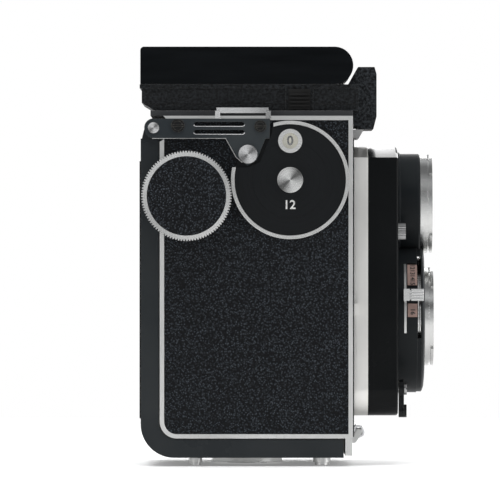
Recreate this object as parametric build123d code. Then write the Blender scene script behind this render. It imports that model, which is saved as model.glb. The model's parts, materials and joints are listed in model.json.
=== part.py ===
from build123d import *

import os
from math import atan2, cos, degrees, hypot, pi, radians, sin, sqrt, tan

# Twin lens reflex camera, millimetres. +X is the way the lenses look, +Y is the camera's left, +Z is up.
# The origin is the mouth of the tripod socket, level with the underside of the feet.

# Body box
BODY_REAR = -29.8
BODY_FRONT = 36.1
BODY_BOTTOM = 9.3
BODY_TOP = 119.4
CORNER_R = 5.8
CAST_Y = 34.6
COVER_IN_Y = 37.4
COVER_Y = 38.4
LEATHER_Y = 39.0
TRIM_Y = 39.3
TRIM_W = 1.5
FILM_Y = 33.0

# Lenses
VIEW_Z = 89.3
TAKE_Z = 50.3
BARREL_R = 17.6
SHUTTER_R = 26.0
BAYONET_R = 16.8
BAYONET_IN_R = 13.9

# Lens board: skirt, housing and arched top
BOARD_Y = 31.5
BOARD_BOTTOM = 16.8
BOARD_SHOULDER = 105.3
BOARD_TOP = 109.3
SKIRT_BACK = 36.6
HOUSING_BACK = 41.4
HOUSING_FRONT = 51.7

# Film transport
WIND_X, WIND_Z = -20.6, 92.0
SUPPLY_X, SUPPLY_Z = 19.0, 17.6
COUNTER_X, COUNTER_Z = 14.7, 97.5
WIND_KNOB_R = 15.4
COUNTER_R = 20.2
SPOOL_FLANGE_R = 12.4
SPOOL_CORE_R = 5.6
GATE = 28.0
CHAMBER_FRONT = 34.6
ROLLER_R = 1.5
UPPER_ROLLER = (-28.6, 80.0)
LOWER_ROLLER = (-27.9, 17.4)

# Gears in the right side cavity
PINION_TEETH = 12
WHEEL_TEETH = 40
DIAL_TEETH = 48
GEAR_ANGLE = degrees(atan2(COUNTER_Z - WIND_Z, COUNTER_X - WIND_X))
GEAR_SPAN = hypot(COUNTER_X - WIND_X, COUNTER_Z - WIND_Z)
MODULE = 2 * GEAR_SPAN / (2 * PINION_TEETH + WHEEL_TEETH + DIAL_TEETH)
IDLER_SPAN = MODULE * (PINION_TEETH + WHEEL_TEETH) / 2
IDLER_X = WIND_X + IDLER_SPAN * cos(radians(GEAR_ANGLE))
IDLER_Z = WIND_Z + IDLER_SPAN * sin(radians(GEAR_ANGLE))

# Focusing, in the left side cavity
FOCUS_X, FOCUS_Z = 14.0, 57.0
FOCUS_MODULE = 0.4
FOCUS_TEETH = 10
FOCUS_KNOB_R = 15.0

# Folding hood
HOOD_Y = 34.5
LID_Y = 34.9
BASE_BOTTOM = 121.2
BASE_TOP = 130.2
LID_TOP = 143.1
LID_REAR = -36.5
NOSE_X, NOSE_Z, NOSE_R = 29.9, 136.7, 6.5
LID_WALL = 1.2
PANEL_T = 0.8
SIDE_PANEL_Z = 131.6
SIDE_HINGE_Y = 32.4
REAR_PANEL_Z = 133.2
REAR_HINGE_X = -34.0
MAGNIFIER_X, MAGNIFIER_Z = -8.1, 139.6

# Door
DOOR_REAR = -36.3
DOOR_BOTTOM = 2.7
DOOR_WALL = 1.5
DOOR_R = 11.4
DOOR_Y = 38.9
DOOR_FRONT = 33.0
HINGE_X, HINGE_Z = -31.9, 115.3
SEAM = 0.3

# Wire loop on the front lip, and the pin through it
CATCH = (38.7, 11.0)

# Running clearance round a turning shaft
RUN = 0.06


def block(x0, x1, y0, y1, z0, z1):
    """A box from its six bounds."""
    middle = Pos((x0 + x1) / 2, (y0 + y1) / 2, (z0 + z1) / 2)
    return middle * Box(abs(x1 - x0), abs(y1 - y0), abs(z1 - z0))


def rod_x(x0, x1, y, z, r):
    """A round rod along X."""
    return Pos((x0 + x1) / 2, y, z) * Rot(0, 90, 0) * Cylinder(r, abs(x1 - x0))


def rod_y(x, z, y0, y1, r):
    """A round rod along Y."""
    return Pos(x, (y0 + y1) / 2, z) * Rot(90, 0, 0) * Cylinder(r, abs(y1 - y0))


def rod_z(x, y, z0, z1, r):
    """A round rod along Z."""
    return Pos(x, y, (z0 + z1) / 2) * Cylinder(r, abs(z1 - z0))


def ring_x(x0, x1, y, z, outer, inner):
    """A tube along X."""
    return rod_x(x0, x1, y, z, outer) - rod_x(x0 - 1, x1 + 1, y, z, inner)


def ring_y(x, z, y0, y1, outer, inner):
    """A tube along Y."""
    low, high = min(y0, y1), max(y0, y1)
    return rod_y(x, z, low, high, outer) - rod_y(x, z, low - 1, high + 1, inner)


def outline(*points):
    """A face from its corners."""
    return Polygon(*points, align=None)


def slab_y(face, y0, y1):
    """A face drawn with X across and Z up, made solid between two Y."""
    low, high = min(y0, y1), max(y0, y1)
    plane = Plane(origin=(0, high, 0), x_dir=(1, 0, 0), z_dir=(0, -1, 0))
    return extrude(plane * face, amount=high - low, dir=(0, -1, 0))


def slab_x(face, x0, x1):
    """A face drawn with Y across and Z up, made solid between two X."""
    plane = Plane(origin=(x0, 0, 0), x_dir=(0, 1, 0), z_dir=(1, 0, 0))
    return extrude(plane * face, amount=x1 - x0, dir=(1, 0, 0))


def slab_z(face, z0, z1):
    """A face extruded along Z."""
    return extrude(Pos(0, 0, z0) * face, amount=z1 - z0, dir=(0, 0, 1))


def turned_x(profile, y, z):
    """A profile of (x, radius) points turned about an axis along X."""
    face = Polygon(*profile, align=None)
    return Pos(0, y, z) * revolve(Plane.XY * face, Axis.X)


def panel(x0, x1, z0, z1, r):
    """A rectangle with round corners."""
    face = Pos((x0 + x1) / 2, (z0 + z1) / 2) * Rectangle(x1 - x0, z1 - z0)
    return fillet(face.vertices(), r)


def both_sides(shape):
    """A shape and its mirror image on the other side."""
    return [shape, mirror(shape, about=Plane.XZ)]


def side_of(shape, side):
    """Shapes are drawn on the camera's left and mirrored to its right."""
    return shape if side == "left" else mirror(shape, about=Plane.XZ)


def save(name, *shapes):
    """Writes the solids of one node to their STEP file."""
    solids = []
    for shape in shapes:
        solids += shape.solids()
    whole = solids[0] if len(solids) == 1 else Compound(children=solids)
    export_step(whole, "parts/" + name + ".step")


def gear(teeth, module, phase, x, z, y0, y1):
    """A spur wheel with involute flanks and a little backlash; one tooth points at the phase angle."""
    pitch = module * teeth / 2
    base = pitch * cos(radians(20))
    tip = pitch + 0.85 * module
    root = pitch - 1.2 * module
    slack = 0.06 * module
    half_pitch = pi / (2 * teeth) - slack / pitch
    involute_pitch = tan(radians(20)) - radians(20)

    def half_angle(radius):
        if radius <= base:
            return half_pitch + involute_pitch
        roll = sqrt((radius / base) ** 2 - 1)
        return half_pitch + involute_pitch - (roll - atan2(roll, 1))

    radii = [root, max(base, root + 0.05 * module), pitch, (pitch + tip) / 2, tip]
    points = []
    for tooth in range(teeth):
        middle = radians(phase) + 2 * pi * tooth / teeth
        for radius in radii:
            angle = middle - half_angle(radius)
            points.append((radius * cos(angle), radius * sin(angle)))
        for radius in reversed(radii):
            angle = middle + half_angle(radius)
            points.append((radius * cos(angle), radius * sin(angle)))
    return Pos(x, 0, z) * slab_y(outline(*points), y0, y1)


def knurled(radius, count, depth):
    """A round face with fine V grooves round its edge."""
    points = []
    for n in range(count):
        for part, r in ((0.0, radius), (0.3, radius), (0.65, radius - depth)):
            angle = 2 * pi * (n + part) / count
            points.append((r * cos(angle), r * sin(angle)))
    return outline(*points)


# ---------------------------------------------------------------- body

def side_outline(inset):
    """The body's side: square in front and on top, round at the lower rear corner."""
    x0, x1 = BODY_REAR + inset, BODY_FRONT - inset
    z0, z1 = BODY_BOTTOM + inset, BODY_TOP - inset
    face = outline((x0, z0), (x1, z0), (x1, z1), (x0, z1))
    corner = face.vertices().sort_by(lambda v: v.X + v.Y)[0]
    return fillet([corner], CORNER_R - inset)


def body_casting():
    """The casting: two light chambers, film rooms, idler post, supply stub and baffle."""
    cast = slab_y(side_outline(0), -CAST_Y, CAST_Y)
    light_y = GATE
    taking = outline((BODY_REAR - 1, TAKE_Z - GATE), (-12, 26.4), (CHAMBER_FRONT, 37.0),
                     (CHAMBER_FRONT, 66.0), (22.5, 66.0), (10.2, TAKE_Z + GATE),
                     (BODY_REAR - 1, TAKE_Z + GATE))
    cast -= slab_y(taking, -light_y, light_y)
    viewing = outline((CHAMBER_FRONT, 68.0), (22.8, 68.0), (-25.2, 116.0), (31.0, 116.0),
                      (CHAMBER_FRONT, 112.0))
    cast -= slab_y(viewing, -29, 29)
    cast -= block(-27.5, 33.5, -30, 30, 116.0, 125.0)
    cast -= rod_x(30, 40, 0, TAKE_Z, 13.0)
    cast -= rod_x(30, 40, 0, VIEW_Z, 15.0)
    cast -= rod_y(WIND_X, WIND_Z, -FILM_Y, FILM_Y, 12.8)
    cast -= block(BODY_REAR - 1, WIND_X, -FILM_Y, FILM_Y, WIND_Z - 10.1, WIND_Z + 12.8)
    cast -= rod_y(SUPPLY_X, SUPPLY_Z, -FILM_Y, FILM_Y, 13.2)
    cast -= block(SUPPLY_X - 13.2, SUPPLY_X + 13.2, -FILM_Y, FILM_Y, 0, SUPPLY_Z)
    cast -= block(BODY_REAR - 1, 6.5, -FILM_Y, FILM_Y, 0, 19.5)
    cast -= rod_y(*UPPER_ROLLER, -31.2, 31.2, ROLLER_R + 0.3)
    for x, z in (UPPER_ROLLER, LOWER_ROLLER):
        cast -= rod_y(x, z, -34.2, 34.2, 0.8 + RUN)
    for x, z in ((WIND_X, WIND_Z), (SUPPLY_X, SUPPLY_Z)):
        cast -= rod_y(x, z, 30, 40, 2.6 + RUN)
    cast -= rod_y(WIND_X, WIND_Z, -40, -30, 2.2 + RUN)
    cast -= rod_y(SUPPLY_X, SUPPLY_Z, -34.2, -30, 2.2)
    cast -= rod_y(IDLER_X, IDLER_Z, -36, -33.8, 1.2)
    post = rod_y(IDLER_X, IDLER_Z, -37.4, -33.8, 1.2 - RUN)
    stub = rod_y(SUPPLY_X, SUPPLY_Z, -34.2, -29.2, 2.2)
    pieces = []
    for y0, y1 in ((-CAST_Y, -GATE), (GATE, CAST_Y)):
        pieces.append(cast & block(-60, 60, y0, y1, 0, 140))
    middle = cast & block(-60, 60, -GATE, GATE, 0, 140)
    pieces.append(middle & block(-60, CHAMBER_FRONT, -40, 40, 0, TAKE_Z))
    pieces.append(middle & block(-60, CHAMBER_FRONT, -40, 40, TAKE_Z, 140))
    pieces.append(middle & block(CHAMBER_FRONT, 60, -40, 40, 0, 140))
    save("body_casting", *pieces, post, stub, light_baffle())


def side_covers():
    """Cover, leatherette and chrome frame on each side of the body."""
    covers, leathers, trims = [], [front_leather()], [base_lip()]
    for side in ("left", "right"):
        cover = slab_y(side_outline(0), CAST_Y, COVER_Y)
        cover -= slab_y(side_outline(1.3), CAST_Y - 1, COVER_IN_Y)
        cover -= rod_y(HINGE_X, HINGE_Z, 30, 50, 4.2)
        leather = slab_y(side_outline(TRIM_W), COVER_Y, LEATHER_Y)
        leather -= rod_y(HINGE_X, HINGE_Z, 30, 50, 4.2)
        trim = slab_y(side_outline(0), COVER_Y, TRIM_Y) - slab_y(side_outline(TRIM_W), 30, 50)
        trim -= rod_y(HINGE_X, HINGE_Z, 30, 50, 5.2)
        if side == "right":
            for x, z, r in ((WIND_X, WIND_Z, 2.2 + RUN), (COUNTER_X, COUNTER_Z, 1.6)):
                cover -= rod_y(x, z, 30, 50, r)
            cover -= rod_y(COUNTER_X, COUNTER_Z + 13.3, 30, 50, 2.7)
            leather -= rod_y(WIND_X, WIND_Z, 30, 50, 3.0)
            leather -= rod_y(COUNTER_X, COUNTER_Z, 30, 50, 19.05)
        else:
            for x, z in ((WIND_X, WIND_Z), (SUPPLY_X, SUPPLY_Z)):
                cover -= rod_y(x, z, 30, 50, 2.6 + RUN)
                leather -= rod_y(x, z, 30, 50, 3.0)
            cover -= rod_y(FOCUS_X, FOCUS_Z, 30, 50, 1.6 + RUN)
            leather -= rod_y(FOCUS_X, FOCUS_Z, 30, 50, 2.2)
        cover -= block(34.0, 38.0, 34.8, 37.2, FOCUS_Z - 6.0, FOCUS_Z - 1.2)
        covers.append(side_of(cover, side))
        leathers.append(side_of(leather, side))
        trims.append(side_of(trim, side))
    save("side_covers", *covers)
    save("body_leather", *leathers)
    save("chrome_trim", *trims)


def front_leather():
    """Leatherette on the front face, round the lens board."""
    leather = block(BODY_FRONT, BODY_FRONT + 0.4, -COVER_Y, COVER_Y, BODY_BOTTOM + 0.5, 111.5)
    leather -= block(BODY_FRONT - 1, BODY_FRONT + 1, -BOARD_Y - 1, BOARD_Y + 1, BOARD_BOTTOM - 1, 120)
    for side in (-1, 1):
        y0, y1 = sorted((side * 34.8, side * 37.2))
        leather -= block(BODY_FRONT - 1, BODY_FRONT + 1, y0, y1, FOCUS_Z - 6.0, FOCUS_Z - 1.2)
    return leather


def light_baffle():
    """A fixed sleeve that the lens board's skirt slides over."""
    outer = panel(-28.6, 28.6, BOARD_BOTTOM + 3.0, 100.5, 6.0)
    inner = panel(-27.4, 27.4, BOARD_BOTTOM + 4.2, 99.3, 4.8)
    return slab_x(outer, BODY_FRONT, 40.6) - slab_x(inner, BODY_FRONT - 1, 42)


def top_frame():
    """The frame that carries the focusing screen, and the bracket under the front block."""
    frame = block(-33.0, BODY_FRONT, -36.5, 36.5, BODY_TOP, BASE_BOTTOM)
    frame -= block(-28.0, 34.0, -30.5, 30.5, BODY_TOP - 1, BASE_BOTTOM + 1)
    bracket = slab_y(outline((36.1, 112.0), (38.4, 112.0), (40.1, 115.0), (36.1, 115.0)), -21.0, 21.0)
    save("top_frame", frame, bracket)
    save("focusing_screen", block(-27.4, 33.4, -29.9, 29.9, 116.0, 117.6))
    mirror_face = outline((23.7, 68.9), (-22.4, 115.0), (-23.3, 114.1), (22.8, 68.0))
    save("viewing_mirror", slab_y(mirror_face, -28.0, 28.0))


def base_lip():
    """The chrome strip along the lower front edge, with the notch for the door bolt."""
    lip = block(33.5, 35.9, -COVER_Y, COVER_Y, 3.4, BODY_BOTTOM)
    lip -= block(33.0, 35.0, -4.6, 4.6, 4.3, 6.7)
    pin_x, pin_z = CATCH
    lip += rod_y(pin_x, pin_z, -8.3, 8.3, 0.5)
    lug = outline((35.5, 7.0), (37.5, 7.0), (pin_x + 0.9, pin_z - 0.7), (pin_x + 0.9, pin_z + 0.8),
                  (pin_x - 0.9, pin_z + 0.8), (36.7, 9.2), (35.5, 9.2))
    return lip + slab_y(lug, 7.4, 8.6) + slab_y(lug, -8.6, -7.4)


# ---------------------------------------------------------------- fittings on the sides

def strap_plates():
    """A black plate on each side with two slots, a round end at the door hinge and a lobe below."""
    bar = outline((HINGE_X, 111.6), (7.7, 111.6), (7.9, 118.4), (HINGE_X, 118.4))
    lobe = outline((-7.1, 111.7), (-3.5, 105.2), (0.2, 102.3), (3.3, 104.2), (7.3, 114.2),
                   (7.9, 118.0), (-7, 118))
    face = bar + lobe + Pos(HINGE_X + 0.3, 115.0) * Circle(3.4)
    slots = [Pos(-9.5, z) * SlotOverall(17.0, 1.3) for z in (116.6, 113.9)]
    holes = [Pos(x, z) * Circle(r) for x, z, r in ((-23.6, 116.0, 1.2), (4.5, 115.8, 1.1), (0.3, 106.3, 1.4))]
    holes.append(Pos(HINGE_X, HINGE_Z) * Circle(1.5))
    for cut in slots + holes:
        face -= cut
    save("strap_plates", *both_sides(slab_y(face, TRIM_Y + 0.05, TRIM_Y + 0.9)))
    screws = []
    for x, z, head, shank in ((-23.6, 116.0, 2.3, 1.2), (4.5, 115.8, 2.0, 1.1)):
        y = TRIM_Y + 0.9
        dome = rod_y(x, z, y, y + 0.5, head) + rod_y(x, z, y + 0.5, y + 0.8, head * 0.7)
        shape = dome + rod_y(x, z, LEATHER_Y + 0.01, y, shank)
        shape -= block(x - head, x + head, y + 0.4, y + 1, z - 0.25, z + 0.25)
        screws += both_sides(shape)
    disc = rod_y(0.3, 106.3, TRIM_Y + 0.9, TRIM_Y + 1.7, 3.2) + rod_y(0.3, 106.3, TRIM_Y, TRIM_Y + 0.9, 1.4)
    disc -= rod_y(0.3, 106.3, TRIM_Y + 1.5, TRIM_Y + 2.0, 1.1)
    save("plate_screws", *screws)
    pin = rod_y(HINGE_X, HINGE_Z, TRIM_Y + 0.9, TRIM_Y + 1.5, 1.9)
    pin += rod_y(HINGE_X, HINGE_Z, 36.0, TRIM_Y + 0.9, 1.5)
    pin -= block(HINGE_X - 2, HINGE_X + 2, TRIM_Y + 1.2, TRIM_Y + 2, HINGE_Z - 0.25, HINGE_Z + 0.25)
    bracket = block(-10.4, 7.3, 37.6, 39.6, 120.3, 122.2)
    for x0, x1 in ((6.4, 8.1), (-10.9, -9.2)):
        bracket += block(x0, x1, 36.5, 40.2, 119.5, 121.1) + block(x0, x1, TRIM_Y + 0.05, 40.2, 118.45, 119.6)
    save("strap_fittings", *both_sides(disc), *both_sides(pin), *both_sides(bracket))


def counter():
    """The black disc over the frame counter, its rim, window, dial and the format knob."""
    window_z = COUNTER_Z + 13.3
    plate_gap = block(-40, 9.0, -50, -30, 101.9, 120)
    cover = ring_y(COUNTER_X, COUNTER_Z, -COVER_Y, -40.4, 19.0, 1.6)
    cover += ring_y(COUNTER_X, COUNTER_Z, -40.4, -40.6, 12.8, 1.6) - rod_y(COUNTER_X, window_z, -45, -30, 4.1)
    cover -= rod_y(COUNTER_X, window_z, -30, -50, 2.7)
    beside_plate = outline((-20, 101.8), (0.2, 101.8), (4.4, 103.6), (8.6, 113.8), (9.0, 130), (-20, 130))
    upper_left = slab_y(beside_plate, -50, -39.2)
    cover -= upper_left
    rim = ring_y(COUNTER_X, COUNTER_Z, -TRIM_Y - 0.05, -40.7, COUNTER_R, 19.0) - upper_left - plate_gap
    save("counter_cover", cover)
    bezel = ring_y(COUNTER_X, window_z, -40.4, -41.2, 4.1, 2.7)
    save("counter_rims", rim, bezel)
    save("counter_glass", rod_y(COUNTER_X, window_z, -39.9, -40.6, 2.7))
    phase = GEAR_ANGLE + 180 + 180 / DIAL_TEETH
    wheel = gear(DIAL_TEETH, MODULE, phase, COUNTER_X, COUNTER_Z, -37.2, -36.3)
    dial = wheel + rod_y(COUNTER_X, COUNTER_Z, -37.2, -34.7, 2.4)
    dial += rod_y(COUNTER_X, COUNTER_Z, -37.35, -37.2, 16.3)
    dial -= rod_y(COUNTER_X, COUNTER_Z, -50, -30, 1.6 + RUN)
    save("counter_dial", dial)
    knob_face = Circle(3.9)
    for n in range(24):
        angle = radians(360 * n / 24)
        knob_face -= Pos(3.9 * cos(angle), 3.9 * sin(angle)) * Circle(0.22)
    knob = Pos(COUNTER_X, 0, COUNTER_Z) * slab_y(knob_face, -41.0, -43.6)
    knob += rod_y(COUNTER_X, COUNTER_Z, -40.65, -41.0, 4.4)
    knob += rod_y(COUNTER_X, COUNTER_Z, -34.7, -41.0, 1.6 - RUN)
    knob -= rod_y(COUNTER_X, COUNTER_Z, -43.3, -44, 2.6)
    save("format_knob", knob)


def wind():
    """Wind knob with its leather inset, shaft with pinion, idler wheels and both spools."""
    face = knurled(WIND_KNOB_R, 100, 0.8)
    knob = Pos(WIND_X, 0, WIND_Z) * slab_y(face, -40.4, -46.6)
    knob += rod_y(WIND_X, WIND_Z, -39.4, -40.4, 14.2)
    knob -= rod_y(WIND_X, WIND_Z, -46.1, -47, 13.5)
    save("wind_knob", knob)
    save("wind_knob_leather", rod_y(WIND_X, WIND_Z, -46.1, -46.75, 13.45))
    shaft = rod_y(WIND_X, WIND_Z, -39.4, -29.0, 2.2)
    shaft += gear(PINION_TEETH, MODULE, GEAR_ANGLE, WIND_X, WIND_Z, -35.9, -34.9)
    shaft += block(WIND_X - 2.2, WIND_X + 2.2, -32.9, -29.0, WIND_Z - 0.7, WIND_Z + 0.7)
    save("wind_shaft", shaft)
    wheel = gear(WHEEL_TEETH, MODULE, GEAR_ANGLE + 180 + 180 / WHEEL_TEETH, IDLER_X, IDLER_Z, -35.9, -34.9)
    pinion = gear(PINION_TEETH, MODULE, GEAR_ANGLE, IDLER_X, IDLER_Z, -37.2, -35.9)
    save("idler_gear", wheel + pinion - rod_y(IDLER_X, IDLER_Z, -40, -30, 1.2))
    for name, x, z in (("take_up_spool", WIND_X, WIND_Z), ("supply_spool", SUPPLY_X, SUPPLY_Z)):
        spool = rod_y(x, z, -32.0, 32.0, SPOOL_CORE_R)
        for side in (-1, 1):
            spool += rod_y(x, z, side * 31.0, side * 32.4, SPOOL_FLANGE_R)
            spool -= rod_y(x, z, side * 28.5, side * 33.0, 2.25)
        if name == "take_up_spool":
            spool -= block(x - 2.35, x + 2.35, -33, -28.9, z - 0.8, z + 0.8)
        spool -= block(x - 8, x + 8, -29.5, 29.5, z - 0.35, z + 0.35) - rod_y(x, z, -30, 30, 3.0)
        save(name, spool)
    for name, x, z in (("spool_knob_upper", WIND_X, WIND_Z), ("spool_knob_lower", SUPPLY_X, SUPPLY_Z)):
        head = Pos(x, 0, z) * slab_y(knurled(7.6, 40, 0.3), 40.6, 45.6)
        head += rod_y(x, z, 39.4, 40.7, 6.2) + rod_y(x, z, 33.6, 39.5, 2.6)
        head += rod_y(x, z, 29.2, 33.7, 1.9)
        head += rod_y(x, z, 45.6, 46.2, 6.8)
        save(name, head)
    for name, (x, z) in (("film_roller_upper", UPPER_ROLLER), ("film_roller_lower", LOWER_ROLLER)):
        save(name, rod_y(x, z, -30.9, 30.9, ROLLER_R) + rod_y(x, z, -34.0, 34.0, 0.8))


def focus_knob():
    """Focusing knob on the left, with its shaft and pinion."""
    knob = Pos(FOCUS_X, 0, FOCUS_Z) * slab_y(knurled(FOCUS_KNOB_R, 90, 0.35), 40.8, 46.8)
    knob += rod_y(FOCUS_X, FOCUS_Z, 39.4, 40.8, 13.6)
    knob -= rod_y(FOCUS_X, FOCUS_Z, 46.2, 48, 13.2)
    knob += rod_y(FOCUS_X, FOCUS_Z, 46.0, 46.5, 11.8)
    shaft = rod_y(FOCUS_X, FOCUS_Z, 34.7, 39.4, 1.6)
    shaft += gear(FOCUS_TEETH, FOCUS_MODULE, 270, FOCUS_X, FOCUS_Z, 34.9, 37.1)
    save("focus_knob", knob, shaft)


def focus_arms():
    """The toothed arm and the plain arm that carry the lens board, one in each side cavity."""
    pitch_z = FOCUS_Z - FOCUS_MODULE * FOCUS_TEETH / 2
    top = pitch_z + 0.7 * FOCUS_MODULE
    root = pitch_z - 1.3 * FOCUS_MODULE
    step = pi * FOCUS_MODULE
    points = [(3.0, FOCUS_Z - 5.6), (36.6, FOCUS_Z - 5.6), (36.6, root)]
    for n in range(14, -9, -1):
        x = FOCUS_X + (n + 0.5) * step
        if 4.0 < x < 34.0:
            for dx, z in ((0.40, root), (0.17, top), (-0.17, top), (-0.40, root)):
                points.append((x + dx, z))
    points.append((3.0, root))
    rack = slab_y(outline(*points), 34.95, 37.05)
    plain = block(3.0, 36.6, -37.05, -34.95, FOCUS_Z - 5.6, FOCUS_Z - 1.6)
    feet = [block(SKIRT_BACK, SKIRT_BACK + 1.4, y0, y1, FOCUS_Z - 5.6, FOCUS_Z - 1.6)
            for y0, y1 in ((BOARD_Y, 37.05), (-37.05, -BOARD_Y))]
    return rack + feet[0], plain + feet[1]


# ---------------------------------------------------------------- lens board

def board_face(inset):
    """The lens board from in front: upright sides, round lower corners and an arched top."""
    y, bottom = BOARD_Y - inset, BOARD_BOTTOM + inset
    shoulder, top = BOARD_SHOULDER - 0.3 * inset, BOARD_TOP - inset
    r = 9.0 - inset
    edge = [Line((-y + r, bottom), (y - r, bottom)),
            CenterArc((y - r, bottom + r), r, 270, 90),
            Line((y, bottom + r), (y, shoulder)),
            ThreePointArc((y, shoulder), (0, top), (-y, shoulder)),
            Line((-y, shoulder), (-y, bottom + r)),
            CenterArc((-y + r, bottom + r), r, 180, 90)]
    return make_face(edge)


def lens_board():
    """The skirt with its focusing arms, and the housing that carries both lenses."""
    skirt = slab_x(board_face(0.0), SKIRT_BACK, HOUSING_BACK) - slab_x(board_face(1.4), 30, 50)
    save("lens_board_skirt", skirt, *focus_arms())
    house = slab_x(board_face(0.0), HOUSING_BACK, HOUSING_FRONT)
    house = fillet(house.faces().sort_by(Axis.X)[-1].edges(), 0.8)
    house -= slab_x(board_face(2.0), 30, HOUSING_FRONT - 2.4)
    house -= rod_x(40, 60, 0, VIEW_Z, 13.5)
    house -= rod_x(40, 60, 0, TAKE_Z, 16.0)
    save("lens_board_housing", house)


def lens(front, edge_front, edge_back, back, r, z):
    """A glass with a bulging front and a gently bulging back."""
    rim = rod_x(edge_back, edge_front, 0, z, r)
    bulge = front - edge_front
    ball = (r * r + bulge * bulge) / (2 * bulge)
    cap = Pos(front - ball, 0, z) * Sphere(ball) & block(edge_front - 0.01, front + 1, -r, r, z - r, z + r)
    back_bulge = edge_back - back
    ball = (r * r + back_bulge * back_bulge) / (2 * back_bulge)
    cup = Pos(back + ball, 0, z) * Sphere(ball) & block(back - 1, edge_back + 0.01, -r, r, z - r, z + r)
    return rim + cap + cup


def bayonet(back, front, z):
    """A filter bayonet: a ring with a stepped bore, three outer claws and an index nub on top."""
    ring = ring_x(back, front - 1.6, 0, z, BAYONET_R, BAYONET_IN_R)
    ring += ring_x(front - 1.6, front, 0, z, BAYONET_R - 0.9, BAYONET_IN_R + 0.6)
    claw = ring_x(front - 1.0, front, 0, z, BAYONET_R, BAYONET_IN_R + 0.6)
    for middle in (0, 120, 240):
        wedge = Pos(0, z) * Polygon((0, 0), (30, -11), (30, 11), align=None).rotate(Axis.Z, middle)
        ring += claw & slab_x(wedge, front - 2, front + 1)
    ring += block(front - 1.7, front - 1.0, -1.2, 1.2, z + BAYONET_R - 0.8, z + BAYONET_R + 0.5)
    return ring


def viewing_lens():
    """The barrel, bayonets and glasses of the viewing lens."""
    profile = [(HOUSING_FRONT, 13.5), (HOUSING_FRONT, BARREL_R + 0.5),
               (HOUSING_FRONT + 0.8, BARREL_R + 0.5), (HOUSING_FRONT + 1.2, BARREL_R),
               (59.2, BARREL_R), (59.7, BARREL_R - 0.5), (59.7, 13.5)]
    barrel = turned_x(profile, 0, VIEW_Z)
    save("filter_bayonets", bayonet(59.7, 63.9, VIEW_Z), bayonet(61.1, 64.3, TAKE_Z))
    front_glass = lens(60.6, 57.6, 55.0, 54.2, 13.4, VIEW_Z)
    save("viewing_lenses", front_glass, lens(47.4, 46.2, 44.2, 43.4, 12.0, VIEW_Z))
    holder = ring_x(44.0, HOUSING_FRONT - 2.4, 0, VIEW_Z, 13.6, 12.05)
    holder += ring_x(HOUSING_FRONT - 2.6, HOUSING_FRONT + 1.0, 0, VIEW_Z, 13.5, 12.05)
    save("viewing_barrel", barrel + holder)


def ring_slot_lever(side, x0):
    """A ring inside the shutter housing with an arm that ends in a ribbed tab outside its rim."""
    ring = ring_x(x0, x0 + 0.5, 0, TAKE_Z, 20.6, 18.6)
    arm = block(x0, x0 + 0.5, 17.0, SHUTTER_R + 0.5, TAKE_Z + 5.9, TAKE_Z + 10.0)
    tab = block(56.2, 60.6, SHUTTER_R - 0.6, SHUTTER_R + 1.3, TAKE_Z + 5.9, TAKE_Z + 10.0)
    tab += block(53.7, 55.8, SHUTTER_R - 0.6, SHUTTER_R + 0.9, TAKE_Z + 5.9, TAKE_Z + 10.0)
    tab += block(55.0, 57.0, SHUTTER_R - 0.6, SHUTTER_R + 0.2, TAKE_Z + 6.3, TAKE_Z + 9.6)
    for n in range(4):
        z = TAKE_Z + 6.55 + n * 0.95
        tab += block(56.4, 60.4, SHUTTER_R + 1.2, SHUTTER_R + 1.55, z - 0.2, z + 0.2)
    lever = ring + arm + tab - rod_x(50, 70, 0, TAKE_Z, 18.6)
    tab_inner = ring_x(50, x0 - 0.01, 0, TAKE_Z, SHUTTER_R + 0.25, 17)
    tab_inner += ring_x(x0 + 0.51, 70, 0, TAKE_Z, SHUTTER_R + 0.25, 17)
    lever -= tab_inner
    return side_of(lever, side)


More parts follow.
